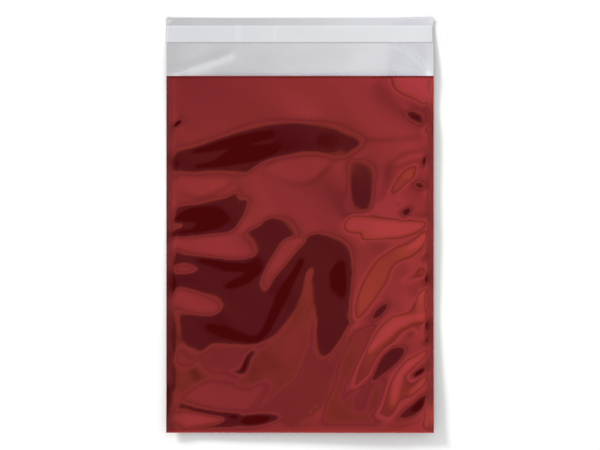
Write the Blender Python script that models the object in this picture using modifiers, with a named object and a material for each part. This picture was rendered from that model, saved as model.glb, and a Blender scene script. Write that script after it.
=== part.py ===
"""A metallic poly mailer bag, lying on its back with the flap open.

One web of laminated film is folded across at the bottom. The back panel is longer than the
front one by the flap, and the two long sides are heat-welded. The flap's inner face carries
a band of hot-melt adhesive under a release liner.

Metres, +Z up. X runs across the bag, +Y towards the flap, and the origin is the middle of
the bag's outline on the surface that it lies on.
"""

import math

import bmesh
import bpy

WIDTH = 0.320  # across the welds
POCKET_LENGTH = 0.427  # bottom fold to mouth
FLAP_LENGTH = 0.070  # mouth to the flap's free edge
FILM = 0.00007  # thickness of the laminated film
WELD_WIDTH = 0.0085  # each side weld
WELD_PITCH = 0.00012  # between the middles of the two films in a weld

PUFF = 0.0092  # how far the front panel stands off the back one
CONTACT = 0.0012  # strip inside each weld where the films still lie together
SIDE_RAMP = 0.045  # width of the slope beside that strip
FOLD_RAMP = 0.060  # length of the slope above the bottom fold
FOLD_SHARE = 0.10  # share of the puff that is left at the bottom fold
MOUTH_RAMP = 0.050  # length of the slope below the mouth
MOUTH_SHARE = 0.80  # share of the puff that is left at the mouth

LINER_WIDTH = 0.0208
LINER_THICKNESS = 0.00006
LINER_MARGIN = 0.0095  # the flap's free edge to the liner
LINER_INSET = 0.0006  # the liner's ends to the film's side edges
ADHESIVE_WIDTH = 0.0160
ADHESIVE_THICKNESS = 0.00010
ADHESIVE_INSET = 0.0020  # the adhesive's ends to the film's side edges
BOND_GAP = 0.0003  # clearance between stacked layers

SIDE_STEPS = 7  # columns in each side slope
TOP_STEPS = 8  # columns across the flat top
FOLD_STEPS = 8  # facets round the bottom fold
FRONT_STEPS = 12  # rows in each sloping end of the front panel
FLAT_STEPS = 4  # rows in the front panel's level middle
EDGE_HIDE = 0.00004  # how far a weld bar stays inside the film's cut edges

HALF_WIDTH = WIDTH / 2
BOTTOM_Y = -(POCKET_LENGTH + FLAP_LENGTH) / 2
MOUTH_Y = BOTTOM_Y + POCKET_LENGTH
FLAP_END_Y = MOUTH_Y + FLAP_LENGTH
WELD_EDGE = HALF_WIDTH - WELD_WIDTH
RAMP_EDGE = WELD_EDGE - CONTACT
BACK_Z = FILM / 2  # the middle of the back panel's film

COLOURS = {
    "red_film": ((0.36, 0.035, 0.045), 0.16, 1.0),
    "hot_melt": ((0.80, 0.78, 0.70), 0.45, 0.0),
    "liner_film": ((0.80, 0.81, 0.84), 0.40, 0.0),
}


def ease(share):
    """0 to 1 with a level start and end."""
    share = min(max(share, 0.0), 1.0)
    return share * share * (3.0 - 2.0 * share)


def clear_scene():
    for obj in list(bpy.data.objects):
        bpy.data.objects.remove(obj)


def collection(name):
    made = bpy.data.collections.new(name)
    bpy.context.scene.collection.children.link(made)
    return made


def material(name):
    colour, roughness, metallic = COLOURS[name]
    made = bpy.data.materials.new(name)
    made.use_nodes = True
    shader = made.node_tree.nodes["Principled BSDF"]
    shader.inputs["Base Color"].default_value = (*colour, 1.0)
    shader.inputs["Roughness"].default_value = roughness
    shader.inputs["Metallic"].default_value = metallic
    return made


def place(name, mesh, group, finish=None):
    obj = bpy.data.objects.new(name, mesh)
    group.objects.link(obj)
    if finish is not None:
        mesh.materials.append(finish)
    return obj


def columns():
    """The sheet's stations across its width, from one cut edge to the other."""
    slope = [RAMP_EDGE - SIDE_RAMP * i / SIDE_STEPS for i in range(SIDE_STEPS + 1)]
    top_half = slope[-1]
    side = [HALF_WIDTH] + slope
    top = [top_half * (1 - 2 * i / TOP_STEPS) for i in range(1, TOP_STEPS)]
    return [-x for x in side] + [-x for x in top] + side[::-1]


def layer_pitch(x, y):
    """The height of the front film's middle above the back film's."""
    across = ease((RAMP_EDGE - abs(x)) / SIDE_RAMP)
    fold = FOLD_SHARE + (1 - FOLD_SHARE) * ease((y - BOTTOM_Y) / FOLD_RAMP)
    mouth = MOUTH_SHARE + (1 - MOUTH_SHARE) * ease((MOUTH_Y - y) / MOUTH_RAMP)
    return WELD_PITCH + PUFF * across * fold * mouth


def stations():
    """The sheet's rows along its length, as functions of x that give (y, z).

    They run from the flap's free edge down the back panel, round the bottom fold and up
    the front panel to the mouth.
    """

    def on_back(y):
        return lambda x: (y, BACK_Z)

    def in_fold(turn):
        def point(x):
            radius = layer_pitch(x, BOTTOM_Y) / 2
            centre_y = BOTTOM_Y + BACK_Z + radius
            return (
                centre_y - radius * math.sin(turn),
                BACK_Z + radius * (1 - math.cos(turn)),
            )

        return point

    def on_front(y):
        return lambda x: (y, BACK_Z + layer_pitch(x, y))

    front_start = BOTTOM_Y + PUFF * FOLD_SHARE
    front_level = BOTTOM_Y + FOLD_RAMP
    front_dip = MOUTH_Y - MOUTH_RAMP
    rows = [on_back(y) for y in (FLAP_END_Y, MOUTH_Y, 0.0, front_start)]
    rows += [in_fold(math.pi * i / FOLD_STEPS) for i in range(FOLD_STEPS + 1)]
    for start, end, steps in (
        (front_start, front_level, FRONT_STEPS),
        (front_level, front_dip, FLAT_STEPS),
        (front_dip, MOUTH_Y, FRONT_STEPS),
    ):
        rows += [on_front(start + (end - start) * i / steps) for i in range(steps)]
    return rows + [on_front(MOUTH_Y)]


def folded_sheet():
    """A flat grid of film, laid round the bottom fold as one surface."""
    across, along = columns(), stations()
    sheet = bmesh.new()
    bmesh.ops.create_grid(
        sheet,
        x_segments=len(across) - 1,
        y_segments=len(along) - 1,
        size=1.0,
    )
    for vert in sheet.verts:
        column = round((vert.co.x + 1) / 2 * (len(across) - 1))
        row = round((vert.co.y + 1) / 2 * (len(along) - 1))
        x = across[column]
        vert.co = (x, *along[row](x))
    mesh = bpy.data.meshes.new("film_bag")
    sheet.to_mesh(mesh)
    sheet.free()
    return mesh


def block(name, low, high):
    """A box mesh between two corners."""
    made = bmesh.new()
    bmesh.ops.create_cube(made, size=1.0)
    for vert in made.verts:
        vert.co = [
            a + (b - a) * (c + 0.5) for a, b, c in zip(low, high, vert.co, strict=True)
        ]
    mesh = bpy.data.meshes.new(name)
    made.to_mesh(mesh)
    made.free()
    return mesh


def weld_bar(side, group):
    """The fused film that fills one side weld, between the middles of its two layers."""
    edges = sorted((side * WELD_EDGE, side * (HALF_WIDTH - EDGE_HIDE)))
    mesh = block(
        "weld_bar",
        (edges[0], BOTTOM_Y + FILM * 0.6, BACK_Z),
        (edges[1], MOUTH_Y - EDGE_HIDE, BACK_Z + WELD_PITCH),
    )
    bar = place("weld_bar_" + ("right" if side > 0 else "left"), mesh, group)
    bar.hide_render = True
    bar.display_type = "WIRE"
    return bar


def film_bag(group, helpers):
    """The folded sheet with its film thickness, and its two sides welded shut."""
    bag = place("film_bag", folded_sheet(), group, material("red_film"))
    film = bag.modifiers.new("film", "SOLIDIFY")
    film.thickness = FILM
    film.offset = 0.0
    film.use_even_offset = True
    for side in (-1, 1):
        weld = bag.modifiers.new("weld", "BOOLEAN")
        weld.operation = "UNION"
        weld.solver = "EXACT"
        weld.object = weld_bar(side, helpers)
    return bag


def strip(name, width, thickness, inset, centre_y, low_z, group, finish):
    """A flat band that lies across the flap."""
    half = HALF_WIDTH - inset
    mesh = block(name, (-half, -width / 2, 0.0), (half, width / 2, thickness))
    band = place(name, mesh, group, finish)
    band.location = (0.0, centre_y, low_z)
    return band


def main():
    clear_scene()
    parts = collection("poly_mailer_bag")
    helpers = collection("helpers")
    film_bag(parts, helpers)
    band_y = FLAP_END_Y - LINER_MARGIN - LINER_WIDTH / 2
    adhesive_z = FILM + BOND_GAP
    strip(
        "adhesive_strip",
        ADHESIVE_WIDTH,
        ADHESIVE_THICKNESS,
        ADHESIVE_INSET,
        band_y,
        adhesive_z,
        parts,
        material("hot_melt"),
    )
    strip(
        "release_liner",
        LINER_WIDTH,
        LINER_THICKNESS,
        LINER_INSET,
        band_y,
        adhesive_z + ADHESIVE_THICKNESS + BOND_GAP,
        parts,
        material("liner_film"),
    )


main()
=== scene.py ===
"""A mirror-red mailing bag: one folded web of film, its adhesive band and its release liner.

Metres throughout, except the wrinkle lists, which are in millimetres. X runs across the
bag, +Y towards the flap and +Z up out of the front panel.
"""

import functools
import math

import bpy
import numpy as np
from bpy.props import FloatProperty, FloatVectorProperty, IntProperty, PointerProperty
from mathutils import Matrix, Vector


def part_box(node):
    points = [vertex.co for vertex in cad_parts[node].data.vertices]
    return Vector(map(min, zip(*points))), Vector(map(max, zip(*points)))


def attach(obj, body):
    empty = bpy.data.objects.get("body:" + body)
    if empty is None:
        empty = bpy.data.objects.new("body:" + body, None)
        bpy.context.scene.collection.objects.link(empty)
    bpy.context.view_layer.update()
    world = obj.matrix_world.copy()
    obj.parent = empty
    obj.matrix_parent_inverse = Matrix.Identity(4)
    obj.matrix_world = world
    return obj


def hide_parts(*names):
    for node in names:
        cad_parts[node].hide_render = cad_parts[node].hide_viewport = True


bl_info = {
    "name": "Poly mailer bag",
    "version": (1, 0, 0),
    "blender": (4, 5, 0),
    "location": "3D View > Sidebar > Mailer",
    "description": "Builds a mirror-film mailing bag with its flap open, and the stage it lies on",
    "category": "Object",
}

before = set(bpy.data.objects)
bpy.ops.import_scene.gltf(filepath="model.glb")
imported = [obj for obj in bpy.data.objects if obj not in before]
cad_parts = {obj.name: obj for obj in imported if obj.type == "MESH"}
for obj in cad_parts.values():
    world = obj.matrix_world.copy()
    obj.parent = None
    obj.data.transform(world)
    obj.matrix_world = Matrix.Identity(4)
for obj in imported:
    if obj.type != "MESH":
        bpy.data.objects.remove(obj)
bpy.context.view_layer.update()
BAG_LOW, BAG_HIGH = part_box("film_bag")
BAND_LOW, BAND_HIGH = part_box("adhesive_strip")
LINER_LOW, LINER_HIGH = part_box("release_liner")

MM = 0.001
HALF_WIDTH = BAG_HIGH[0]
BOTTOM_Y = BAG_LOW[1]
FLAP_END_Y = BAG_HIGH[1]
FLAP_LENGTH = 0.070
MOUTH_Y = FLAP_END_Y - FLAP_LENGTH
WELD_WIDTH = 0.0085
WELD_X = HALF_WIDTH - WELD_WIDTH

LOOSE = 0.45  # how firmly the plain film between the flanks keeps its lean
WELD_FIRM = 0.6  # the same in the welds

# How steeply the front panel leans towards the upper left. A large positive lean mirrors the
# dark side of the studio, and a large negative one its bright side. From SHARP to DIM the
# film looks nearly black, and from UMBER to WARM it looks brown.
FACING = math.radians(130)
SHARP = 0.190
STEEP = 0.130
DEEP = 0.080
DIM = 0.066
SHADE = 0.050
UMBER = 0.0362
BROWN = 0.0335
WARM = 0.0305
DUSK = 0.025
DULL = 0.0165
FAINT = 0.012
HAZE = 0.003
LEVEL = -0.0025
SOFT = -0.009
PALE = -0.017
RUST = -0.037
GLOW = -0.055
SHEEN = -0.084
GLINT = -0.095
RING = 0.018  # the narrow rim round a lens
RING_HALF = 1.7  # half the rim's width, in millimetres
LEVEL_FALL = 0.085  # how much more the right side leans back than the left, per metre

# The front panel's flanks, in millimetres, each with its lean. A later one lies over an
# earlier one. Patches are smooth closed outlines, lenses are patches with a narrow rim,
# strokes are (x, y, half-width) and spots are (x, y, half-length, half-width, degrees).
FLANKS = (
    # the bright upper right corner, with a duller band across it
    ("patch", SHEEN, (112, 190), (114, 168), (125, 157), (140, 149), (150, 144), (162, 142), (170, 180)),
    ("patch", FAINT, (86, 165), (91, 172), (99, 171), (107, 165), (118, 158), (130, 152), (144, 145),
     (149, 141), (146, 132), (138, 124), (132, 124), (120, 131), (105, 141), (95, 151)),
    ("stroke", SHARP, (128, 137, 0.8), (134, 132.5, 1.8), (141, 126.5, 1.8), (150, 117, 0.8)),
    ("stroke", DUSK, (20, 127, 0.8), (40, 122, 1.4), (56, 116, 1.4), (68, 108, 1.6), (80, 103, 1.6),
     (96, 101, 1.4), (120, 103, 1.2), (150, 105, 0.8)),
    # the long arch
    ("patch", DUSK, (-151, 90), (-110, 103), (-78, 115), (-45, 124), (-8, 127), (20, 126), (44, 119),
     (60, 111), (73, 103), (76, 94), (66, 84), (50, 76), (30, 82), (0, 86), (-40, 76), (-65, 60),
     (-100, 62), (-151, 61)),
    ("patch", SHADE, (-152, 83), (-140, 89.5), (-120, 95), (-100, 102.5), (-80, 108.5), (-50, 116),
     (-20, 120.5), (0, 122), (22, 121), (40, 115.5), (55, 108), (67, 101.5), (71, 96), (62, 90),
     (58, 83), (52, 78.5), (42, 81), (30, 86), (15, 89), (0, 88), (-20, 83), (-40, 78), (-55, 69),
     (-65, 62), (-80, 65), (-100, 65), (-125, 64), (-143, 64), (-151, 67)),
    ("stroke", DEEP, (-128, 88, 1.5), (-105, 93, 3), (-80, 99, 5), (-55, 105, 4), (-35, 108, 2)),
    ("stroke", DEEP, (-125, 70, 1), (-100, 73, 3), (-75, 84, 10), (-50, 86, 7), (-30, 92, 4)),
    ("spot", DIM, (34, 101, 15, 10, -25)),
    ("stroke", DEEP, (-158, 79, 1.4), (-152, 75, 3), (-148, 70, 3)),
    # the oval beside it
    ("patch", DUSK, (50, 79), (62, 80), (74, 79), (86, 71), (92, 58), (91, 40), (87, 20), (79, 14),
     (69, 17), (60, 33), (56, 56)),
    ("patch", SHADE, (58, 75), (65, 78), (73, 77), (82, 72), (88, 64), (89.5, 53), (87, 38), (84.5, 24),
     (82, 17.5), (76, 17), (69, 21), (62.5, 31), (59.5, 43), (58, 58)),
    # soft lenses under the arch
    ("lens", SOFT, (-147, 59), (-112, 57), (-90, 57), (-82, 52), (-92, 44), (-105, 37), (-120, 33),
     (-135, 36), (-150, 45)),
    ("lens", SOFT, (-44, 66), (-30, 76), (-10, 81), (15, 84), (31, 81), (38, 74), (28, 64), (16, 53),
     (0, 49), (-15, 51), (-33, 59)),
    # the short patch against the left weld, and the bright strip below it
    ("patch", SHADE, (-149, 21), (-142, 24), (-120, 25.5), (-105, 29), (-90, 33), (-82, 37), (-78, 41),
     (-73, 39), (-72, 32), (-62, 31), (-63, 20), (-67, 10), (-74, 0), (-81, -6), (-90, -10),
     (-110, -12.5), (-130, -14), (-148, -14), (-152, 0)),
    ("patch", DEEP, (-149, 8), (-140, 15), (-130, 19.5), (-115, 20.5), (-103, 19), (-94, 13), (-87, 6),
     (-93, 1), (-100, -3), (-115, -7), (-150, -10), (-130, -6), (-122, 1), (-125, 5), (-140, 5)),
    ("spot", LEVEL, (-147, -1.5, 6, 3, 0)),
    ("patch", SOFT, (-156, -17), (-130, -16), (-100, -14), (-80, -10), (-70, -3), (-66, -12), (-58, -22),
     (-53, -32), (-55, -37), (-80, -37), (-120, -34), (-150, -26)),
    # the large patch with its tongue
    ("patch", SHADE, (-150, -28), (-140, -33), (-125, -36), (-110, -38), (-80, -40), (-58, -39),
     (-52, -36), (-54, -30), (-60, -20), (-67, -12), (-66, -7), (-55, -3), (-48, 0), (-42, 7),
     (-35, 10), (-25, 10), (-15, 6), (-8, -1), (-2, -9), (5, -15), (15, -10), (28, -10), (42, -15),
     (53, -22), (60, -32), (63, -45), (63.5, -60), (62, -80), (61, -95), (62, -110), (67, -120),
     (60, -119), (55, -129), (48, -139), (40, -150), (33, -157.5), (27, -158.5), (21, -151), (19, -135),
     (19.5, -118), (17, -100), (15, -80), (15, -60), (13, -51), (9, -57), (5, -75), (-1, -90),
     (-7, -102), (-17, -117), (-29, -131), (-41, -139), (-55, -143), (-70, -144), (-90, -142),
     (-105, -142), (-110, -146), (-115, -151.5), (-122, -152.5), (-131, -148), (-139, -138),
     (-143, -125), (-144, -110), (-148, -98), (-152, -85), (-153, -60), (-152, -45)),
    ("lens", SOFT, (-158, -86), (-151, -78), (-142, -76), (-130, -79), (-118, -83), (-105, -88),
     (-97, -95), (-96, -102), (-102, -106), (-112, -107), (-125, -106), (-138, -103), (-149, -94)),
    ("patch", LEVEL, (-154, -52), (-145, -47), (-136, -48), (-124, -54), (-135, -57.5), (-152, -57)),
    ("patch", LEVEL, (0, -15), (-12, -16), (-21, -20), (-28, -33), (-34, -42), (-41, -52), (-46, -64),
     (-45, -71), (-40, -78), (-33, -66), (-24, -53), (-11, -38), (-2, -27), (5, -19)),
    ("stroke", DEEP, (-125, -41, 1), (-105, -45, 2.5), (-85, -50, 4.5), (-62, -51, 4), (-55, -56, 5),
     (-65, -65, 5), (-80, -71, 3.5), (-89, -73, 1)),
    ("stroke", DEEP, (2, -42, 2), (-5, -56, 3), (-15, -73, 4), (-25, -92, 4.5), (-33, -110, 4),
     (-40, -125, 3), (-50, -137, 2.5), (-62, -138, 3), (-80, -132, 4.5), (-95, -126, 4),
     (-110, -120.5, 1.5)),
    ("stroke", DEEP, (47, -50, 5), (44, -60, 8), (46, -70, 8), (50, -80, 4), (52, -86, 1.5)),
    # the brown glow between patch and tongue, spreading to the lower left
    ("patch", BROWN, (13, -58), (16, -75), (16, -95), (14, -115), (10, -140), (4, -165), (-5, -184),
     (-18, -194), (-35, -208), (-52, -222), (-44, -208), (-36, -196), (-42, -187), (-60, -194),
     (-76, -191), (-76, -183), (-66, -180), (-60, -168), (-55, -155), (-44, -146), (-31, -135),
     (-19, -122), (-8, -106), (0, -90), (7, -72)),
    ("stroke", WARM, (10, -85, 1), (6, -110, 4), (-2, -130, 8), (-10, -145, 10), (-15, -158, 7)),
    ("patch", UMBER, (-53, -152), (-42, -150), (-32, -158), (-20, -168), (-26, -173), (-45, -177),
     (-62, -179), (-58, -166)),
    ("patch", DULL, (-113, -152), (-106, -144), (-85, -142.5), (-60, -144.5), (-52, -148), (-60, -156),
     (-66, -170), (-72, -173), (-100, -172), (-112, -166), (-120, -157)),
    ("stroke", DEEP, (-54, -149, 1), (-62, -158, 1.8), (-66, -169, 2.6), (-69, -176, 2),
     (-77, -176, 1.2), (-86, -173, 0.8)),
    ("patch", BROWN, (-157, -95), (-150, -103), (-146, -118), (-144, -132), (-133, -149), (-122, -156),
     (-114, -172), (-86, -176), (-78, -182), (-85, -188), (-105, -184), (-118, -190), (-130, -200),
     (-148, -203), (-151, -190), (-149, -170), (-158, -150)),
    ("patch", UMBER, (-149, -172), (-130, -175), (-122, -178), (-118, -188), (-130, -198), (-146, -200)),
    ("stroke", HAZE, (-142, -143, 1), (-128, -151, 2.4), (-117, -163, 2.8), (-108, -173, 3),
     (-90, -176, 3), (-80, -182, 2)),
    ("patch", HAZE, (-153, -150), (-145, -148), (-133, -157), (-126, -166), (-131, -171), (-142, -168),
     (-151, -160)),
    ("lens", HAZE, (-142, -207), (-130, -198), (-116, -188), (-100, -186), (-85, -189), (-75, -193),
     (-60, -197), (-52, -191), (-42, -189), (-43, -196), (-54, -212), (-61, -221), (-75, -223),
     (-100, -220), (-125, -213)),
    ("stroke", BROWN, (-40, -184, 1.5), (-52, -182, 2.5), (-62, -186, 2), (-74, -190, 1)),
    # the folded corner at the lower left
    ("patch", SHADE, (-95, -233), (-80, -229), (-60, -226.5), (-35, -226), (-25, -228), (-24, -232),
     (-35, -237), (-60, -241), (-100, -243), (-138, -246), (-158, -243), (-156, -232), (-145, -240),
     (-120, -240)),
    ("patch", PALE, (-156, -230), (-151, -225.5), (-125, -225.5), (-108, -229), (-92, -234.5),
     (-110, -238.5), (-128, -241.5), (-137, -243.5), (-145, -239)),
    ("stroke", DEEP, (-150, -202, 1), (-146, -210, 1.8), (-138, -216.5, 2.2), (-127, -221, 2.4),
     (-112, -224, 2.2), (-95, -226.5, 2.2), (-75, -228.5, 2.2)),
    ("patch", DEEP, (-70, -234), (-60, -229.5), (-45, -228.5), (-36, -231), (-45, -236), (-60, -238)),
    ("stroke", PALE, (-153, -207, 2), (-149, -214, 3), (-153, -224, 2)),
    # the shallow trough under the tongue, down to the bottom fold
    ("patch", DULL, (12, -118), (18, -120), (20, -150), (27, -160), (35, -160), (46, -148), (56, -132),
     (61, -134), (52, -150), (44, -170), (37, -192), (29, -214), (16, -223), (0, -236), (-22, -238),
     (-20, -226), (-40, -224), (-52, -224), (-35, -210), (-18, -197), (-4, -186), (6, -165)),
    ("stroke", DEEP, (20, -217, 0.8), (17, -222, 1.6), (14, -226, 1)),
    # the sweep of brown and bright bands at the lower right
    ("patch", BROWN, (66, -124), (90, -120), (108, -111), (130, -103), (151, -98), (152, -126),
     (140, -129), (128, -125), (119, -136), (106, -148), (93, -164), (84, -182), (76, -194),
     (66, -214), (84, -222), (100, -236), (60, -237), (30, -236), (29, -222), (36, -205), (43, -185),
     (48, -165), (56, -148), (62, -134)),
    ("patch", DULL, (85, -187), (98, -184), (106, -181), (102, -196), (97, -212), (93, -228), (74, -223),
     (63, -222), (68, -210), (77, -197)),
    ("patch", BROWN, (92, -190), (104, -184), (100, -198), (95, -212), (92, -226), (79, -222),
     (84, -206)),
    ("patch", RUST, (92, -122), (108, -111), (130, -103), (151, -98), (152, -126), (140, -129),
     (128, -125), (119, -136), (106, -148), (94, -164), (84, -180), (74, -190), (63, -197), (62, -188),
     (67, -172), (74, -158), (82, -144), (86, -132)),
    ("stroke", HAZE, (62, -184, 3), (56, -196, 3), (52, -208, 2)),
    ("stroke", SHEEN, (150, -109, 2), (132, -112, 4.5), (115, -117, 7), (105, -126, 7), (93, -139, 4.5),
     (82, -150, 2)),
    ("patch", SHADE, (84, -186), (91, -186.5), (100, -179.5), (112, -170.5), (122, -160), (127, -152),
     (124, -145.5), (115, -144.5), (107, -147.5), (97, -156.5), (90, -168), (86, -178)),
    ("spot", SHADE, (95.5, -103.5, 14.5, 5.4, 46)),
    ("spot", SHADE, (133, -130, 4, 2.4, 0)),
    ("patch", RUST, (108, -186), (120, -186), (134, -190), (130, -204), (118, -212), (108, -232),
     (90, -228), (98, -212), (104, -198)),
    ("stroke", SHEEN, (152, -151, 2), (141, -160, 3.6), (129, -168, 4.4), (119, -180, 4), (115, -192, 4),
     (113, -204, 3), (112, -214, 1.5)),
    ("patch", RUST, (122, -186), (128, -179), (134, -184), (146, -183), (138, -193), (130, -203),
     (124, -201)),
    ("stroke", DEEP, (134, -182.5, 1.6), (140, -178, 3.4), (147, -173, 2.2)),
    ("stroke", SHEEN, (152, -179, 1.4), (146, -189, 2.6), (137, -197, 2.4), (131, -203, 1)),
    ("patch", SHADE, (116, -231), (123, -233), (132, -231), (140, -226), (147, -220), (150, -212),
     (152, -207), (159, -200), (150, -202), (142, -206.5), (134, -212.5), (126, -219), (119, -225)),
    ("spot", DEEP, (141, -217, 8, 3.6, 40)),
    ("stroke", GLINT, (155, -208, 1.5), (155, -220, 4), (155, -238, 4)),
    ("stroke", DUSK, (-20, -240, 0.8), (20, -238.5, 1.3), (62, -238, 1.3), (80, -238.5, 1.2),
     (102, -241, 1.3), (122, -241, 1.3), (140, -236, 1.2), (150, -228, 0.8)),
    # the narrow lenses and glints down the right side
    ("stroke", FAINT, (106, 72, 4), (104, 52, 6), (97, 34, 5)),
    ("lens", PALE, (109, 71), (115, 79), (126, 85), (140, 88), (152, 89), (151, 80), (135, 76),
     (120, 70)),
    ("patch", GLOW, (110, 41), (114, 53), (124, 64), (134, 71), (140, 70), (137, 60), (127, 48),
     (116, 40)),
    ("spot", STEEP, (148.5, 76, 1.8, 6, 0)),
    ("stroke", SHARP, (136, 53, 0.8), (143, 47.5, 1.5), (149, 42.5, 0.8)),
    ("patch", DEEP, (121, 19), (127, 20), (133, 21), (131.5, 14), (128, 10), (123, 12)),
    ("stroke", DULL, (134, 11, 2), (146, 11, 4), (154, 9, 3)),
    ("stroke", STEEP, (-153, 117, 1.2), (-148, 121, 1.7), (-142, 124.5, 1)),
    ("patch", SHEEN, (54, -2), (56, 6), (63, 11), (71, 11.5), (80, 9), (91, 6), (110, 5), (130, 3.5),
     (146, 3), (149, -1), (140, -7), (125, -12), (105, -15), (90, -18), (80, -18), (74, -15),
     (73, -9.5), (65, -8.5), (57, -6.5)),
    ("patch", GLOW, (152, -17), (140, -19), (125, -24), (110, -29), (98, -36), (88, -46), (80, -59),
     (73, -74), (68, -89), (65, -105), (69, -113), (77, -105), (87, -92), (99, -76), (106, -65),
     (109, -55), (115, -47), (125, -41), (136, -36), (143, -28), (151, -23)),
    ("stroke", GLINT, (149, -14, 4.5), (139, -23, 4), (128, -29, 1.5)),
    ("patch", RUST, (121, -66), (130, -60), (140, -55), (151, -51), (150, -60), (138, -67), (128, -69)),
    ("stroke", GLINT, (151, -78, 2), (144, -86, 3.6), (145, -95, 4.6), (150, -104, 3)),
    # small puckers against the welds
    ("stroke", STEEP, (150, 143, 1), (152.5, 138, 1.2), (151.5, 133, 0.8)),
    ("spot", STEEP, (152, -64, 2, 8, 0)),
    ("spot", STEEP, (151, -38, 2, 3, 0)),
    ("spot", SHADE, (151.5, -19, 2, 3, 0)),
    ("spot", STEEP, (152.5, -120, 2.2, 8, 0)),
    ("spot", STEEP, (152, -138, 2.2, 3.4, 0)),
    ("spot", SHADE, (152, -168, 3, 3, 0)),
    ("spot", STEEP, (-154, -12, 3, 4, 0)),
    ("stroke", SHADE, (-155, -104, 1.5), (-154, -130, 4), (-154, -165, 5), (-153, -196, 3)),
    ("stroke", DEEP, (-153, -52, 2), (-154, -64, 3.4), (-153, -76, 3), (-155, -88, 1.5)),
    ("stroke", STEEP, (-158, -194, 1.5), (-158, -230, 1.5)),
)

# Soft ridges and creases of the flap, in millimetres: two ends, half-width and height.
FLAP_CREASES = (
    ((-150, 182), (-86, 204), 6.0, 1.1),
    ((-152, 180), (-136, 185), 2.2, 2.6),
    ((113, 216), (130, 209), 3.0, 0.8),
    ((130, 209), (144, 196), 3.0, 0.9),
    ((144, 196), (153, 182), 3.0, 1.0),
    ((114, 190), (135, 181), 2.0, 1.1),
    ((-40, 190), (60, 194), 12.0, 0.4),
    ((-161, 244), (-154, 251), 1.8, 1.6),
    ((153, 251), (161, 244), 1.8, 1.6),
)


# ---- Settings ----


class MailerBagSettings(bpy.types.PropertyGroup):
    """Sizes of the bag."""

    film: FloatProperty(
        name="Film",
        description="Thickness of the laminated film",
        default=0.00007,
        precision=5,
        unit="LENGTH",
    )
    lowest: FloatProperty(
        name="Lowest dent",
        description="Height of the front panel's lowest point above the table",
        default=0.0012,
        precision=4,
        unit="LENGTH",
    )
    relief: FloatProperty(
        name="Wrinkle strength",
        description="Factor on the height of every wrinkle",
        default=1.0,
        subtype="FACTOR",
    )
    fold: FloatProperty(
        name="Bottom fold",
        description="Radius of the loop of film at the bottom fold",
        default=0.0009,
        precision=4,
        unit="LENGTH",
    )
    lift_width: FloatProperty(
        name="Edge lift",
        description="Width over which the back panel rises from the table to its edges",
        default=0.050,
        unit="LENGTH",
    )
    beads: IntProperty(
        name="Adhesive beads",
        description="Number of parallel beads in the adhesive band",
        default=8,
        min=1,
    )


class MailerFinishSettings(bpy.types.PropertyGroup):
    """Colours of the materials."""

    red: FloatVectorProperty(
        name="Red film",
        description="Colour of the film's outer face",
        default=(0.374, 0.044, 0.046),
        subtype="COLOR",
        size=3,
    )
    silver: FloatVectorProperty(
        name="Silver face",
        description="Colour of the film's inner face",
        default=(0.775, 0.80, 0.835),
        subtype="COLOR",
        size=3,
    )
    liner: FloatVectorProperty(
        name="Liner",
        description="Colour of the release liner",
        default=(0.675, 0.685, 0.71),
        subtype="COLOR",
        size=3,
    )
    adhesive: FloatVectorProperty(
        name="Adhesive",
        description="Colour of the hot-melt adhesive",
        default=(0.80, 0.78, 0.70),
        subtype="COLOR",
        size=3,
    )


class MailerStageSettings(bpy.types.PropertyGroup):
    """Floor, light and camera."""

    floor: FloatVectorProperty(
        name="Floor",
        description="Colour of the floor",
        default=(0.95, 0.95, 0.95),
        subtype="COLOR",
        size=3,
    )
    floor_size: FloatProperty(
        name="Floor size", description="Side of the floor", default=40.0, unit="LENGTH"
    )
    camera_height: FloatProperty(
        name="Camera height",
        description="Height of the camera above the bag",
        default=5.0,
        unit="LENGTH",
    )
    view_width: FloatProperty(
        name="View width",
        description="Width that the camera sees at the bag",
        default=0.719,
        unit="LENGTH",
    )
    sun: FloatProperty(
        name="Key light", description="Strength of the low key light", default=2.15
    )
    sky: FloatProperty(
        name="Fill light", description="Strength of the even fill light", default=0.80
    )


# ---- The front panel's relief ----


def smooth_outline(points, steps=6):
    """A closed Catmull-Rom curve through the points, as a dense polygon."""
    p = np.array(points, float)
    before, after, beyond = np.roll(p, 1, 0), np.roll(p, -1, 0), np.roll(p, -2, 0)
    curve = []
    for step in range(steps):
        t = step / steps
        curve.append(
            p
            + 0.5 * t * (after - before)
            + 0.5 * t**2 * (2 * before - 5 * p + 4 * after - beyond)
            + 0.5 * t**3 * (3 * p - before - 3 * after + beyond)
        )
    return np.stack(curve, 1).reshape(-1, 2)


def in_patch(points, x, y):
    """Which of the places lie inside the smooth outline, by counting crossings."""
    loop = smooth_outline(points)
    inside = np.zeros(x.shape, bool)
    x0, y0 = loop[-1]
    for x1, y1 in loop:
        if y0 != y1:
            reach = (x1 - x0) * (y - y0) / (y1 - y0) + x0
            inside ^= ((y0 > y) != (y1 > y)) & (x < reach)
        x0, y0 = x1, y1
    return inside


def on_stroke(points, x, y):
    """Which of the places lie on the tapering stroke."""
    hit = np.zeros(x.shape, bool)
    for (ax, ay, a_half), (bx, by, b_half) in zip(points, points[1:]):
        dx, dy = bx - ax, by - ay
        share = np.clip(((x - ax) * dx + (y - ay) * dy) / (dx * dx + dy * dy), 0, 1)
        away = np.hypot(x - ax - share * dx, y - ay - share * dy)
        hit |= away < a_half + (b_half - a_half) * share
    return hit


def on_spot(points, x, y):
    """Which of the places lie in the turned ellipse."""
    cx, cy, half_length, half_width, degrees = points[0]
    turn = math.radians(degrees)
    along = (x - cx) * math.cos(turn) + (y - cy) * math.sin(turn)
    across = (y - cy) * math.cos(turn) - (x - cx) * math.sin(turn)
    return (along / half_length) ** 2 + (across / half_width) ** 2 < 1


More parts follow.
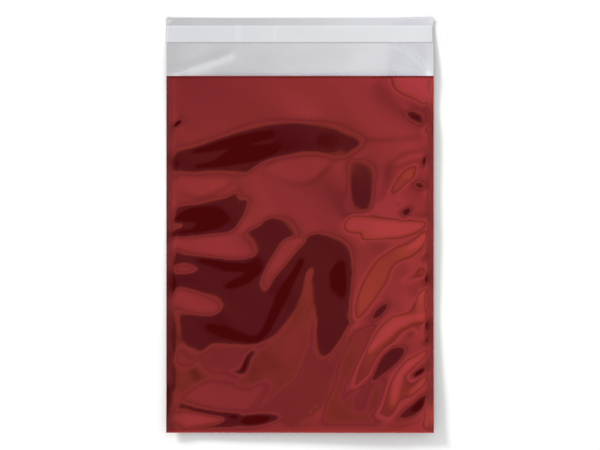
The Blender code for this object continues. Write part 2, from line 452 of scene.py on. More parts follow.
MARKS = {"patch": in_patch, "stroke": on_stroke, "spot": on_spot}
MARK_REACH = 25  # how far a mark may reach past its own points, in millimetres


def wanted_lean(columns, rows, size, camera_height, finer=2):
    """The lean wanted in each cell of the panel, and how firmly it is wanted.

    The camera looks straight down, so what a place mirrors also shifts with its distance
    from the middle. The last step takes that share off.
    """
    cell_x, cell_y = size[0] / columns / finer, size[1] / rows / finer
    xs = (np.arange(columns * finer) + 0.5) * cell_x - HALF_WIDTH / MM
    ys = (np.arange(rows * finer) + 0.5) * cell_y + BOTTOM_Y / MM
    all_x, all_y = np.meshgrid(xs, ys)
    lean = LEVEL - LEVEL_FALL * MM * all_x
    firm = np.full(lean.shape, LOOSE)
    in_weld = np.abs(xs) > WELD_X / MM
    lean[:, in_weld] = LEVEL
    firm[:, in_weld] = WELD_FIRM
    for kind, amount, *points in FLANKS:
        reach = np.array([p[:2] for p in points])
        low, high = reach.min(0) - MARK_REACH, reach.max(0) + MARK_REACH
        rows_in = slice(*np.searchsorted(ys, (low[1], high[1])))
        columns_in = slice(*np.searchsorted(xs, (low[0], high[0])))
        x, y = np.meshgrid(xs[columns_in], ys[rows_in])
        if kind == "lens":
            rim = [(px, py, RING_HALF) for px, py in smooth_outline(points, 3)]
            ring = on_stroke([*rim, rim[0]], x, y)
            lean[rows_in, columns_in][ring] = RING
            firm[rows_in, columns_in][ring] = 1.0
            hit = in_patch(points, x, y) & ~ring
        else:
            hit = MARKS[kind](points, x, y)
        lean[rows_in, columns_in][hit] = amount
        firm[rows_in, columns_in][hit] = 1.0
    across = all_x * math.cos(FACING) + all_y * math.sin(FACING)
    lean -= across * MM / camera_height / 2

    def average(grid):
        return grid.reshape(rows, finer, columns, finer).mean((1, 3))

    return average(lean), average(firm)


class Relief:
    """Heights of the front panel on a regular grid, in millimetres.

    The heights are those whose slopes lean as the flanks ask, by least squares, and which
    otherwise bend and tilt as little as they can, as taut film does.
    """

    GRIDS = (16.0, 8.0, 4.0, 2.0)  # the pitch of each pass, each starting from the last
    ROUNDS = 360
    SIDEWAYS = 0.015  # cost of a slope across the lean
    BENDING = 1.3  # cost of a bend, in square millimetres
    WELD_BENDING = 25.0  # the same in the welds, which are two films thick
    HELD = 1e-7  # keeps the heights' level from drifting

    def __init__(self, camera_height):
        self.camera_height = camera_height
        self.size = (2 * HALF_WIDTH / MM, (MOUTH_Y - BOTTOM_Y) / MM)
        self.heights = None
        for pitch in self.GRIDS:
            self.solve(pitch)

    def solve(self, pitch):
        columns, rows = (round(side / pitch) for side in self.size)
        self.dx, self.dy = self.size[0] / columns, self.size[1] / rows
        lean, firm = wanted_lean(columns, rows, self.size, self.camera_height)
        if self.heights is None:
            start = np.zeros((rows + 1, columns + 1))
        else:
            x = np.linspace(0, self.heights.shape[1] - 1, columns + 1)
            y = np.linspace(0, self.heights.shape[0] - 1, rows + 1)
            start = spline_sample(self.heights, *np.meshgrid(x, y))
        node_x = np.abs(np.linspace(-self.size[0], self.size[0], columns + 1) / 2)
        stiff = np.where(node_x > WELD_X / MM, self.WELD_BENDING, self.BENDING)
        target = self.spread_slopes(-lean * firm)
        self.heights = conjugate_gradient(
            lambda h: self.resist(h, firm, stiff), target, start, self.ROUNDS
        )

    def slopes(self, h):
        a, b, c, d = h[1:, 1:], h[1:, :-1], h[:-1, 1:], h[:-1, :-1]
        return (a + c - b - d) / (2 * self.dx), (a + b - c - d) / (2 * self.dy)

    def spread(self, along_x, along_y):
        """The transpose of slopes: what each node gets from its cells."""
        h = np.zeros((along_x.shape[0] + 1, along_x.shape[1] + 1))
        px, py = along_x / (2 * self.dx), along_y / (2 * self.dy)
        h[1:, 1:] += px + py
        h[1:, :-1] += py - px
        h[:-1, 1:] += px - py
        h[:-1, :-1] -= px + py
        return h

    def spread_slopes(self, lean):
        return self.spread(lean * math.cos(FACING), lean * math.sin(FACING))

    def resist(self, h, firm, stiff):
        """The film's response to the heights: leans, sideways slopes and bends."""
        fx, fy = math.cos(FACING), math.sin(FACING)
        slope_x, slope_y = self.slopes(h)
        lean = (slope_x * fx + slope_y * fy) * firm
        side = (slope_y * fx - slope_x * fy) * self.SIDEWAYS
        out = self.spread(lean * fx - side * fy, lean * fy + side * fx)
        bend = np.zeros_like(h)
        bend[1:-1] += (h[2:] - 2 * h[1:-1] + h[:-2]) / self.dy**2
        bend[:, 1:-1] += (h[:, 2:] - 2 * h[:, 1:-1] + h[:, :-2]) / self.dx**2
        bend *= stiff
        across, along = bend[1:-1] / self.dy**2, bend[:, 1:-1] / self.dx**2
        out[2:] += across
        out[1:-1] -= 2 * across
        out[:-2] += across
        out[:, 2:] += along
        out[:, 1:-1] -= 2 * along
        out[:, :-2] += along
        return out + self.HELD * h

    def at(self, x, y):
        """Height in metres above the lowest point, at places in metres."""
        column = (x + HALF_WIDTH) / MM / self.dx
        row = (y - BOTTOM_Y) / MM / self.dy
        return (spline_sample(self.heights, column, row) - self.heights.min()) * MM


@functools.cache
def solved_relief(camera_height):
    """The relief, worked out once for all the pieces that lie on it."""
    return Relief(camera_height)


def conjugate_gradient(apply, target, start, rounds):
    """Solves apply(h) = target for a symmetric, positive apply."""
    h = start.copy()
    rest = target - apply(h)
    step = rest.copy()
    left = (rest * rest).sum()
    enough = 1e-10 * (target * target).sum()
    for _ in range(rounds):
        moved = apply(step)
        length = left / (step * moved).sum()
        h += length * step
        rest -= length * moved
        before, left = left, (rest * rest).sum()
        if left < enough:
            break
        step = rest + left / before * step
    return h


def spline_sample(grid, column, row):
    """The grid's value between its nodes, on a Catmull-Rom surface."""

    def four(place, count):
        first = np.clip(np.floor(place).astype(int), 0, count - 2)
        t = np.clip(place - first, 0, 1)
        weights = (
            (-t + 2 * t**2 - t**3) / 2,
            (2 - 5 * t**2 + 3 * t**3) / 2,
            (t + 4 * t**2 - 3 * t**3) / 2,
            (t**3 - t**2) / 2,
        )
        nodes = [np.clip(first + k, 0, count - 1) for k in (-1, 0, 1, 2)]
        return list(zip(nodes, weights))

    total = 0.0
    for r, wr in four(row, grid.shape[0]):
        for c, wc in four(column, grid.shape[1]):
            total = total + wr * wc * grid[r, c]
    return total


# ---- The folded web ----


def ease(share):
    """0 to 1 with a level start and end."""
    share = np.clip(share, 0.0, 1.0)
    return share * share * (3.0 - 2.0 * share)


FINE_WIDTH = 0.014  # the strip beside each weld with close columns
COLUMNS = (56, 13, 11)  # from the middle to that strip, across it and across the weld


def web_columns():
    """Stations across the web: wide in the middle, close beside and in the welds."""
    fine = WELD_X - FINE_WIDTH
    middle = np.linspace(0.0, fine, COLUMNS[0])
    beside = np.linspace(fine, WELD_X, COLUMNS[1])[1:]
    weld = np.linspace(WELD_X, HALF_WIDTH, COLUMNS[2])[1:]
    half = np.concatenate([middle, beside, weld])
    return np.concatenate([-half[:0:-1], half])


class Web:
    """Heights of the film's outer face, front and back, for the lying bag."""

    PLY = 0.00017  # between the outer faces in a weld
    FLAP_SINK = 0.75  # share of the welds' height that is gone at the flap's free edge
    PARTING = 0.004  # over this distance the two films part, beside a weld and past the mouth
    CREASE_START = 0.005  # over this distance past the mouth the flap's creases begin
    FOLD_RISE = 0.030  # over this distance from a weld the bottom fold opens

    def __init__(self, scene):
        self.settings = scene.mailer_bag
        self.relief = solved_relief(scene.mailer_stage.camera_height)

    def front(self, x, y):
        return self.relief.at(x, y) * self.settings.relief + self.settings.lowest

    def weld(self, x, y):
        """Height of the nearer weld above the table. Past the mouth it sinks along the flap."""
        in_weld = np.where(x < 0, -1.0, 1.0) * np.maximum(np.abs(x), WELD_X)
        past = ease((y - MOUTH_Y) / FLAP_LENGTH)
        return self.front(in_weld, np.minimum(y, MOUTH_Y)) * (1 - self.FLAP_SINK * past)

    def back(self, x, y):
        """The back panel and flap: on the table in the middle, lifted at the edges."""
        settings = self.settings
        lift = ease((np.abs(x) - WELD_X + settings.lift_width) / settings.lift_width)
        height = (self.weld(x, y) - self.PLY) * lift
        low_edge = self.front(x, np.full_like(y, BOTTOM_Y)) - 2 * self.fold_radius(x)
        up = ease((BOTTOM_Y + settings.lift_width - y) / settings.lift_width)
        height = height + (low_edge - height) * up
        inside = ease((WELD_X - np.abs(x)) / self.PARTING)
        ceiling = self.front(x, np.minimum(y, MOUTH_Y)) - self.PLY * (1 + inside)
        height = np.minimum(height, ceiling + ease((y - MOUTH_Y) / self.PARTING))
        return height + self.flap_shape(x, y) * ease((y - MOUTH_Y) / self.CREASE_START)

    def fold_radius(self, x):
        inside = ease((WELD_X - np.abs(x)) / self.FOLD_RISE)
        return self.PLY / 2 + (self.settings.fold - self.PLY / 2) * inside

    def flap_shape(self, x, y):
        """The flap's soft ridges and creases."""
        height = np.zeros_like(x)
        for (ax, ay), (bx, by), half, rise in FLAP_CREASES:
            dx, dy = (bx - ax) * MM, (by - ay) * MM
            px, py = x - ax * MM, y - ay * MM
            share = (px * dx + py * dy) / (dx * dx + dy * dy)
            near = np.clip(share, 0, 1)
            away = np.hypot(px - near * dx, py - near * dy) / (half * MM)
            height = np.maximum(height, rise * MM * np.exp(-(away**2)))
        return height


FLAP_ROW = 0.0025  # between rows on the flap
FRONT_ROW = 0.0024  # between rows on the front panel. The back one has every other row
FRONT_START = 0.0025  # the first row's distance from the bottom fold
FOLD_STEPS = 6


def web_mesh(web):
    """The whole web as one grid: flap edge, back panel, bottom fold, front panel, mouth."""
    across = web_columns()
    flap = np.arange(FLAP_END_Y, MOUTH_Y + FLAP_ROW / 2, -FLAP_ROW)
    steps = 2 * round((MOUTH_Y - BOTTOM_Y) / FRONT_ROW / 2)
    front = np.linspace(BOTTOM_Y + FRONT_START, MOUTH_Y, steps)
    back = front[::-2]
    rows = []
    for y in np.concatenate([flap, back]):
        along = np.full_like(across, y)
        rows.append((along, web.back(across, along)))
    radius = web.fold_radius(across)
    low = web.front(across, np.full_like(across, BOTTOM_Y)) - 2 * radius
    for step in range(FOLD_STEPS + 1):
        turn = math.pi * step / FOLD_STEPS
        along = BOTTOM_Y + radius * (1 - math.sin(turn))
        rows.append((along, low + radius * (1 - math.cos(turn))))
    for y in front:
        along = np.full_like(across, y)
        rows.append((along, web.front(across, along)))
    places = np.stack([np.stack([across, y, z], 1) for y, z in rows])
    return grid_mesh("film_bag", places)


def grid_mesh(name, places):
    """A smooth mesh of quads over a grid of places, with a UV map along the grid."""
    rows, columns = places.shape[:2]
    corner = np.arange((rows - 1) * columns).reshape(rows - 1, columns)[:, :-1].ravel()
    faces = np.stack([corner, corner + 1, corner + columns + 1, corner + columns], 1)
    mesh = bpy.data.meshes.new(name)
    mesh.from_pydata(places.reshape(-1, 3).tolist(), [], faces.tolist())
    mesh.shade_smooth()
    u, v = np.meshgrid(np.linspace(0, 1, columns), np.linspace(0, 1, rows))
    uv = np.stack([u.ravel(), v.ravel()], 1)[faces.ravel()]
    mesh.uv_layers.new(name="UVMap").data.foreach_set("uv", uv.ravel())
    mesh.update()
    return mesh


def show(name, mesh):
    obj = bpy.data.objects.new(name, mesh)
    bpy.context.scene.collection.objects.link(obj)
    return obj


def apply_modifiers(obj):
    """Turns what the modifiers show into the object's own mesh."""
    view = bpy.context.evaluated_depsgraph_get()
    shown = bpy.data.meshes.new_from_object(obj.evaluated_get(view))
    plain = obj.data
    obj.modifiers.clear()
    obj.data = shown
    bpy.data.meshes.remove(plain)
    shown.name = obj.name


# ---- Shader help ----


def link(tree, value, socket):
    """Links an output to the socket, or sets the socket to a number or a colour."""
    if isinstance(value, bpy.types.NodeSocket):
        tree.links.new(value, socket)
    elif socket.type == "RGBA":
        socket.default_value = (*value, 1.0)
    else:
        socket.default_value = value


def feed(tree, made, **inputs):
    """Links or sets a node's inputs by name."""
    for name, value in inputs.items():
        link(tree, value, made.inputs[name.replace("_", " ")])


def node(tree, kind, **inputs):
    """A shader or geometry node, with its inputs linked or set by name."""
    made = tree.nodes.new(kind)
    feed(tree, made, **inputs)
    return made


def maths(tree, operation, *values):
    made = tree.nodes.new("ShaderNodeMath")
    made.operation = operation
    for socket, value in zip(made.inputs, values):
        link(tree, value, socket)
    return made.outputs[0]


def fade(tree, value, start, end, low=0.0, high=1.0):
    """Low to high, smoothly, as the value goes from start to end."""
    made = node(tree, "ShaderNodeMapRange", Value=value, From_Min=start, From_Max=end)
    made.interpolation_type = "SMOOTHSTEP"
    feed(tree, made, To_Min=low, To_Max=high)
    return made.outputs["Result"]


def noise(tree, place, scale, detail):
    made = node(tree, "ShaderNodeTexNoise", Vector=place, Scale=scale, Detail=detail)
    return made.outputs["Fac"]


def blend_colour(tree, share, first, second, how="MIX"):
    made = tree.nodes.new("ShaderNodeMix")
    made.data_type = "RGBA"
    made.blend_type = how
    values = {"Factor_Float": share, "A_Color": first, "B_Color": second}
    for socket in made.inputs:
        if socket.identifier in values:
            link(tree, values[socket.identifier], socket)
    return next(s for s in made.outputs if s.identifier == "Result_Color")


def group_tree(name, kind, inputs, outputs):
    """An empty node group with inputs and outputs, each a label and a kind of socket."""
    tree = bpy.data.node_groups.new(name, kind)
    for way, sockets in (("INPUT", inputs), ("OUTPUT", outputs)):
        for label, socket in sockets.items():
            tree.interface.new_socket(label, in_out=way, socket_type="NodeSocket" + socket)
    return tree, tree.nodes.new("NodeGroupInput").outputs, tree.nodes.new("NodeGroupOutput")


def film_grain_group():
    """Fine drawn streaks and soft clouds, as every rolled or cast film has."""
    name = "film_grain"
    if name in bpy.data.node_groups:
        return bpy.data.node_groups[name]
    tree, given, out = group_tree(
        name,
        "ShaderNodeTree",
        {"Streaks per metre": "Float", "Stretch": "Float", "Clouds per metre": "Float"},
        {"Streaks": "Float", "Clouds": "Float", "Specks": "Float"},
    )
    place = tree.nodes.new("ShaderNodeTexCoord").outputs["Object"]
    split = node(tree, "ShaderNodeSeparateXYZ", Vector=place).outputs
    along = maths(tree, "DIVIDE", split["Y"], given["Stretch"])
    drawn = node(tree, "ShaderNodeCombineXYZ", X=split["X"], Y=along).outputs[0]
    feed(
        tree,
        out,
        Streaks=noise(tree, drawn, given["Streaks per metre"], 3.0),
        Clouds=noise(tree, place, given["Clouds per metre"], 4.0),
        Specks=noise(tree, place, SPECKS, 1.0),
    )
    return tree


def new_material(name, streaks=900.0, stretch=30.0, clouds=18.0):
    """A material with its tree, its Principled shader and what the film grain group gives."""
    made = bpy.data.materials.new(name)
    made.use_nodes = True
    tree = made.node_tree
    grain = tree.nodes.new("ShaderNodeGroup")
    grain.node_tree = film_grain_group()
    feed(tree, grain, Streaks_per_metre=streaks, Stretch=stretch, Clouds_per_metre=clouds)
    return made, tree, tree.nodes["Principled BSDF"], grain.outputs


def add_bump(tree, shader, height, distance):
    made = node(tree, "ShaderNodeBump", Strength=1.0, Distance=distance, Height=height)
    link(tree, made.outputs["Normal"], shader.inputs["Normal"])


# ---- Materials ----

SPECKS = 2600.0  # specks per metre in every film
WELD_RIBS = 4200.0  # angular pitch of the ribs across a weld, per metre
WELD_START = (WELD_X - 0.0004, WELD_X + 0.0006)  # where the welded look begins and is full
WHITE = (1.0, 1.0, 1.0)


def scaled(colour, *factors):
    return tuple(c * f for c, f in zip(colour, factors))


def place_across(tree):
    """The place across the bag, in metres from its middle."""
    place = tree.nodes.new("ShaderNodeTexCoord").outputs["Object"]
    return node(tree, "ShaderNodeSeparateXYZ", Vector=place).outputs["X"]


def mottled(tree, body, clouds, darker):
    """The colour with soft darker clouds in it."""
    shade = blend_colour(tree, fade(tree, clouds, 0.3, 0.7), darker, WHITE)
    return blend_colour(tree, 1.0, body, shade, "MULTIPLY")


def red_film():
    """Mirror-bright lacquered film, duller and streaked where it is welded."""
    made, tree, shader, grain = new_material("red_film", 700.0, 14.0, 9.0)
    red = tuple(bpy.context.scene.mailer_finish.red)
    x = place_across(tree)
    weld = fade(tree, maths(tree, "ABSOLUTE", x), *WELD_START)
    deeper = scaled(red, 0.985, 0.96, 1.03)
    warmer = scaled(red, 1.01, 1.02, 0.94)
    body = blend_colour(tree, fade(tree, grain["Clouds"], 0.38, 0.62), deeper, warmer)
    drawn = blend_colour(tree, grain["Streaks"], (0.95, 0.95, 0.95), (1.05, 1.05, 1.05))
    body = blend_colour(tree, 1.0, body, drawn, "MULTIPLY")
    streak = fade(tree, grain["Streaks"], 0.35, 0.65)
    seam = blend_colour(tree, streak, scaled(red, 0.70, 0.95, 0.85), red)
    gloss = maths(tree, "MULTIPLY_ADD", grain["Streaks"], 0.02, 0.022)
    gloss = maths(tree, "MULTIPLY_ADD", weld, 0.10, gloss)
    body = blend_colour(tree, weld, body, seam)
    feed(tree, shader, Base_Color=body, Roughness=gloss, Metallic=1.0)
    wave = maths(tree, "SINE", maths(tree, "MULTIPLY", x, WELD_RIBS))
    ribs = maths(tree, "MULTIPLY", wave, weld)
    height = maths(tree, "MULTIPLY_ADD", ribs, 0.5, grain["Streaks"])
    add_bump(tree, shader, height, 0.000002)
    return made


def silver_face():
    """The inner face of the film: satin aluminium, with painted shading that makes it darker on the left
    and brighter towards the right.
    """
    made, tree, shader, grain = new_material("silver_face", 500.0, 12.0)
    silver = tuple(bpy.context.scene.mailer_finish.silver)
    # painted shading: the colour darkens towards the left and brightens towards the right
    left = scaled(silver, 0.86, 0.86, 0.86)
    right = scaled(silver, 1.06, 1.07, 1.10)
    side = fade(tree, place_across(tree), -HALF_WIDTH, HALF_WIDTH)
    body = blend_colour(tree, side, left, right)
    body = mottled(tree, body, grain["Clouds"], (0.955, 0.955, 0.96))
    gloss = maths(tree, "MULTIPLY_ADD", grain["Streaks"], 0.10, 0.34)
    feed(tree, shader, Base_Color=body, Roughness=gloss, Metallic=0.55)
    height = maths(tree, "ADD", grain["Streaks"], grain["Specks"])
    add_bump(tree, shader, height, 0.00002)
    return made


def liner_film():
    """Milky release film with faint bands where the roll was drawn, and painted shading that darkens it
    towards the left.
    """
    made, tree, shader, grain = new_material("liner_film")
    milky = tuple(bpy.context.scene.mailer_finish.liner)
    x = place_across(tree)
    # painted shading: the liner darker towards the left, lighter towards the right
    left = scaled(milky, 0.93, 0.935, 0.95)
    body = blend_colour(tree, fade(tree, x, -HALF_WIDTH, 0.10), left, milky)
    bands = maths(tree, "ADD", splice(tree, x, -0.074, 0.006), splice(tree, x, -0.030, 0.004))
    body = blend_colour(tree, maths(tree, "MULTIPLY", bands, 0.14), body, (0.86, 0.86, 0.87))
    body = mottled(tree, body, grain["Clouds"], (0.97, 0.97, 0.975))
    gloss = maths(tree, "MULTIPLY_ADD", grain["Streaks"], 0.15, 0.30)
    feed(tree, shader, Base_Color=body, Roughness=gloss, Coat_Weight=0.15)
    add_bump(tree, shader, grain["Streaks"], 0.00002)
    return made


def splice(tree, x, place, half):
    """1 on a faint band across the liner, 0 away from it."""
    away = maths(tree, "ABSOLUTE", maths(tree, "SUBTRACT", x, place))
    return fade(tree, away, 0.0, half, 1.0, 0.0)


def hot_melt():
    """Tacky, faintly yellow adhesive."""
    made, tree, shader, grain = new_material("hot_melt")
    cream = tuple(bpy.context.scene.mailer_finish.adhesive)
    body = blend_colour(tree, grain["Clouds"], scaled(cream, 0.9, 0.9, 0.9), cream)
    gloss = maths(tree, "MULTIPLY_ADD", grain["Specks"], 0.2, 0.35)
    feed(tree, shader, Base_Color=body, Roughness=gloss)
    add_bump(tree, shader, grain["Specks"], 0.00003)
    return made


def pale_floor():
    """Matt white card with a barely visible grain."""
    made, tree, shader, grain = new_material("pale_floor")
    white = tuple(bpy.context.scene.mailer_stage.floor)
    body = blend_colour(tree, grain["Clouds"], scaled(white, 0.985, 0.985, 0.985), white)
    feed(tree, shader, Base_Color=body, Roughness=0.9, Specular_IOR_Level=0.1)
    return made


# ---- Pieces ----

BEAD_POINTS = 90
BEAD_SIDES = 10
BEAD_SHARE = 0.97  # the beads' width as a share of their pitch
BEAD_FLATNESS = 0.11  # the beads' height as a share of their width
BEAD_RISE = 0.00015  # the beads' middle above the film
LINER_GRID = (160, 12)  # columns and rows
LINER_RISE = 0.00032  # the liner's edges above the film
LINER_CROWN = 0.00008  # its middle above its edges


class MAILER_OT_film_bag(bpy.types.Operator):
    """Build the folded, welded web of film"""

    bl_idname = "mailer.film_bag"
    bl_label = "Film bag"

    def execute(self, context):
        bag = show("film_bag_web", web_mesh(Web(context.scene)))
        bag.data.materials.append(red_film())
        bag.data.materials.append(silver_face())
        film = bag.modifiers.new("film", "SOLIDIFY")
        film.thickness = context.scene.mailer_bag.film
        film.offset = -1.0
        film.material_offset = 1
        film.material_offset_rim = 0
        apply_modifiers(bag)
        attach(bag, "root")
        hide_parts("film_bag")
        return {"FINISHED"}


def liner_mesh(web):
    """The liner's underside, laid on the flap's own shape and a little crowned."""
    low, high = LINER_LOW, LINER_HIGH
    x, y = np.meshgrid(
        np.linspace(low[0], high[0], LINER_GRID[0]),
        np.linspace(low[1], high[1], LINER_GRID[1]),
    )
    crown = LINER_CROWN * (1 - (2 * (y - low[1]) / (high[1] - low[1]) - 1) ** 2)
    z = web.back(x, y) + web.settings.film + LINER_RISE + crown
    return grid_mesh("release_liner", np.stack([x, y, z], 2))


def bead_tree():
    """Sweeps a flattened bead of melt along every line that comes in."""
    inputs = {
        "Geometry": "Geometry",
        "Width": "Float",
        "Flatness": "Float",
        "Material": "Material",
    }
    tree, given, out = group_tree(
        "adhesive_beads", "GeometryNodeTree", inputs, {"Geometry": "Geometry"}
    )
    line = node(tree, "GeometryNodeMeshToCurve", Mesh=given["Geometry"])
    upright = node(tree, "GeometryNodeSetCurveNormal", Curve=line.outputs["Curve"])
    upright.mode = "Z_UP"
    ring = node(tree, "GeometryNodeCurvePrimitiveCircle", Resolution=BEAD_SIDES)
    feed(tree, ring, Radius=maths(tree, "MULTIPLY", given["Width"], 0.5))
    flat = node(tree, "ShaderNodeCombineXYZ", X=1.0, Y=given["Flatness"], Z=1.0)
    section = node(
        tree, "GeometryNodeTransform", Geometry=ring.outputs["Curve"], Scale=flat.outputs[0]
    )
    bead = node(
        tree,
        "GeometryNodeCurveToMesh",
        Curve=upright.outputs["Curve"],
        Profile_Curve=section.outputs["Geometry"],
        Fill_Caps=True,
    )
    real = node(tree, "GeometryNodeRealizeInstances", Geometry=bead.outputs["Mesh"])
    finish = node(tree, "GeometryNodeSetMaterial", Geometry=real.outputs["Geometry"])
    feed(tree, finish, Material=given["Material"])
    feed(tree, out, Geometry=finish.outputs["Geometry"])
    return tree


def set_inputs(modifier, values):
    """Sets a nodes modifier's inputs by the identifiers of their sockets."""
    for item in modifier.node_group.interface.items_tree:
        if item.in_out == "INPUT" and item.name in values:
            modifier[item.identifier] = values[item.name]


class MAILER_OT_adhesive_strip(bpy.types.Operator):
    """Lay the beads of hot-melt adhesive across the flap"""

    bl_idname = "mailer.adhesive_strip"
    bl_label = "Adhesive strip"

    def execute(self, context):
        settings = context.scene.mailer_bag
        web = Web(context.scene)
        pitch = (BAND_HIGH[1] - BAND_LOW[1]) / settings.beads
        x, y = np.meshgrid(
            np.linspace(BAND_LOW[0], BAND_HIGH[0], BEAD_POINTS),
            BAND_LOW[1] + pitch * (np.arange(settings.beads) + 0.5),
        )
        z = web.back(x, y) + settings.film + BEAD_RISE
        corner = np.arange(x.size).reshape(x.shape)[:, :-1].ravel()
        edges = np.stack([corner, corner + 1], 1)
        line = bpy.data.meshes.new("adhesive_lines")
        line.from_pydata(np.stack([x, y, z], 2).reshape(-1, 3).tolist(), edges.tolist(), [])
        strip = show("adhesive_beads", line)
        beads = strip.modifiers.new("beads", "NODES")
        beads.node_group = bead_tree()
        width = pitch * BEAD_SHARE
        values = {"Width": width, "Flatness": BEAD_FLATNESS, "Material": hot_melt()}
        set_inputs(beads, values)
        apply_modifiers(strip)
        strip.data.shade_smooth()
        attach(strip, "root")
        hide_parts("adhesive_strip")
        return {"FINISHED"}


class MAILER_OT_release_liner(bpy.types.Operator):
    """Lay the release liner over the adhesive"""

    bl_idname = "mailer.release_liner"
    bl_label = "Release liner"

    def execute(self, context):
        liner = show("release_liner_film", liner_mesh(Web(context.scene)))
        liner.data.materials.append(liner_film())
        film = liner.modifiers.new("film", "SOLIDIFY")
        film.thickness = LINER_HIGH[2] - LINER_LOW[2]
        film.offset = 1.0
        apply_modifiers(liner)
        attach(liner, "root")
        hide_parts("release_liner")
        return {"FINISHED"}


# ---- Stage ----

BACKDROP = (0.93, 0.93, 0.93)
KEY_ELEVATION = math.radians(28)
KEY_SIDE = math.radians(-132)  # the key light stands beyond the flap, to the left
KEY_SOFTNESS = math.radians(14)
SENSOR = 36.0  # millimetres
FLOOR_Z = -0.00005  # just clear of the bag's underside
OVERHEAD = (0.80, 0.93)  # heights at which the softboxes give way to the bands overhead
SWAY = 0.24  # how unevenly the softboxes hang
HORIZON = 0.05  # the least height at which a direction's lean is worked out

# What the film mirrors straight above it, from the bright lower right to the dark upper
# left: how far the mirrored direction leans, and the red, green and blue light there.
STUDIO_BANDS = (
    (-0.32, (1.75, 1.70, 1.60)),
    (-0.23, (1.50, 1.45, 1.30)),
    (-0.185, (1.12, 1.02, 1.00)),
    (-0.155, (1.02, 0.93, 0.95)),
    (-0.135, (0.94, 0.87, 0.85)),
    (-0.122, (0.88, 0.86, 0.68)),
    (-0.108, (0.84, 0.86, 0.58)),
    (-0.090, (0.68, 0.67, 0.48)),
    (-0.072, (0.53, 0.51, 0.40)),
    (-0.064, (0.51, 0.45, 0.42)),
    (-0.056, (0.80, 0.72, 0.74)),
    (-0.050, (0.85, 0.77, 0.80)),
    (-0.034, (0.86, 0.77, 0.80)),
    (-0.02, (0.79, 0.70, 0.73)),
    (0.0, (0.68, 0.61, 0.62)),
    (0.022, (0.57, 0.52, 0.52)),
    (0.028, (0.50, 0.44, 0.46)),
    (0.038, (0.49, 0.43, 0.46)),
    (0.042, (0.57, 0.52, 0.55)),
    (0.052, (0.60, 0.55, 0.57)),
    (0.060, (0.58, 0.56, 0.44)),
    (0.066, (0.50, 0.52, 0.38)),
    (0.074, (0.41, 0.42, 0.30)),
    (0.080, (0.26, 0.22, 0.25)),
    (0.102, (0.235, 0.17, 0.23)),
    (0.120, (0.175, 0.05, 0.06)),
    (0.40, (0.165, 0.03, 0.04)),
)

# The same for the softboxes and flags round about, by how high they stand.
SOFTBOXES = (
    (0.10, 0.45),
    (0.18, 0.60),
    (0.21, 1.10),
    (0.36, 1.05),
    (0.39, 0.20),
    (0.47, 0.17),
    (0.50, 0.85),
    (0.63, 1.00),
    (0.66, 0.30),
    (0.74, 0.26),
    (0.77, 0.80),
    (0.95, 0.85),
)


def fill_ramp(ramp, bands):
    """Puts the bands' colours at their places in a colour ramp."""
    while len(ramp.elements) < len(bands):
        ramp.elements.new(0.5)
    for stop, (at, colour) in zip(ramp.elements, bands):
        stop.position = at
        stop.color = (*colour, 1.0)


def studio_world(stage):
    """Even fill light, a plain pale backdrop, and the banded studio that the film mirrors."""
    world = bpy.data.worlds.new("studio")
    world.use_nodes = True
    tree = world.node_tree
    tree.nodes.clear()
    direction = tree.nodes.new("ShaderNodeTexCoord").outputs["Generated"]
    split = node(tree, "ShaderNodeSeparateXYZ", Vector=direction).outputs
    height = maths(tree, "MAXIMUM", split["Z"], HORIZON)
    u = maths(tree, "DIVIDE", split["X"], height)
    v = maths(tree, "DIVIDE", split["Y"], height)
    lean_u = maths(tree, "MULTIPLY", u, math.cos(FACING))
    lean_v = maths(tree, "MULTIPLY", v, math.sin(FACING))
    lean = maths(tree, "ADD", lean_u, lean_v)
    first, last = STUDIO_BANDS[0][0], STUDIO_BANDS[-1][0]
    place = node(tree, "ShaderNodeMapRange", Value=lean, From_Min=first, From_Max=last)
    ramp = tree.nodes.new("ShaderNodeValToRGB")
    reach = last - first
    fill_ramp(ramp.color_ramp, [((at - first) / reach, c) for at, c in STUDIO_BANDS])
    link(tree, place.outputs["Result"], ramp.inputs["Fac"])
    shelf = maths(tree, "MULTIPLY_ADD", noise(tree, direction, 1.6, 1.0), SWAY, split["Z"])
    around = tree.nodes.new("ShaderNodeValToRGB")
    fill_ramp(around.color_ramp, [(at, (light,) * 3) for at, light in SOFTBOXES])
    link(tree, shelf, around.inputs["Fac"])
    overhead = fade(tree, split["Z"], *OVERHEAD)
    mirrored = blend_colour(tree, overhead, around.outputs["Color"], ramp.outputs["Color"])
    path = tree.nodes.new("ShaderNodeLightPath").outputs
    fill = (stage.sky,) * 3
    light = blend_colour(tree, path["Is Glossy Ray"], fill, mirrored)
    seen = blend_colour(tree, path["Is Camera Ray"], light, BACKDROP)
    back = node(tree, "ShaderNodeBackground", Color=seen)
    out = tree.nodes.new("ShaderNodeOutputWorld")
    link(tree, back.outputs[0], out.inputs["Surface"])
    bpy.context.scene.world = world


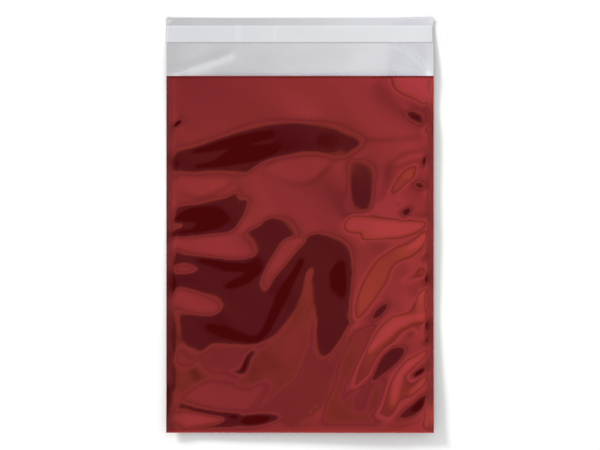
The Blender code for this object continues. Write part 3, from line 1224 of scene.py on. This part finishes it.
class MAILER_OT_stage(bpy.types.Operator):
    """Build the floor, the light and the camera"""

    bl_idname = "mailer.stage"
    bl_label = "Stage"

    def execute(self, context):
        stage = context.scene.mailer_stage
        half = stage.floor_size / 2
        x, y = np.meshgrid((-half, half), (-half, half))
        mesh = grid_mesh("floor", np.stack([x, y, np.full_like(x, FLOOR_Z)], 2))
        floor = show("floor", mesh)
        floor.data.materials.append(pale_floor())
        studio_world(stage)
        lamp = bpy.data.lights.new("key", "SUN")
        lamp.energy = stage.sun
        lamp.angle = KEY_SOFTNESS
        lamp.specular_factor = 0.0
        key = show("key", lamp)
        key.rotation_euler = (math.pi / 2 - KEY_ELEVATION, 0.0, KEY_SIDE)
        key.visible_glossy = False
        lens = bpy.data.cameras.new("camera")
        lens.sensor_width = SENSOR
        lens.lens = SENSOR * stage.camera_height / stage.view_width
        lens.clip_end = 100.0
        camera = show("camera", lens)
        camera.location = (0.0, 0.0, stage.camera_height)
        context.scene.camera = camera
        context.scene.view_settings.view_transform = "Standard"
        return {"FINISHED"}


# ---- Panel ----

OPERATORS = (
    MAILER_OT_film_bag,
    MAILER_OT_adhesive_strip,
    MAILER_OT_release_liner,
    MAILER_OT_stage,
)
SETTINGS = {
    "mailer_bag": MailerBagSettings,
    "mailer_finish": MailerFinishSettings,
    "mailer_stage": MailerStageSettings,
}


class MAILER_PT_panel(bpy.types.Panel):
    """Sizes, colours and buttons of the mailing bag"""

    bl_idname = "MAILER_PT_panel"
    bl_label = "Poly mailer bag"
    bl_space_type = "VIEW_3D"
    bl_region_type = "UI"
    bl_category = "Mailer"

    def draw(self, context):
        for group in SETTINGS:
            box = self.layout.box()
            settings = getattr(context.scene, group)
            for name in SETTINGS[group].__annotations__:
                box.prop(settings, name)
        for operator in OPERATORS:
            self.layout.operator(operator.bl_idname)


CLASSES = (*SETTINGS.values(), *OPERATORS, MAILER_PT_panel)


def register():
    for one in CLASSES:
        bpy.utils.register_class(one)
    for name, group in SETTINGS.items():
        setattr(bpy.types.Scene, name, PointerProperty(type=group))


def unregister():
    for name in SETTINGS:
        delattr(bpy.types.Scene, name)
    for one in reversed(CLASSES):
        bpy.utils.unregister_class(one)


def main():
    register()
    bpy.ops.mailer.film_bag()
    bpy.ops.mailer.adhesive_strip()
    bpy.ops.mailer.release_liner()
    bpy.ops.mailer.stage()


if __name__ == "__main__":
    main()
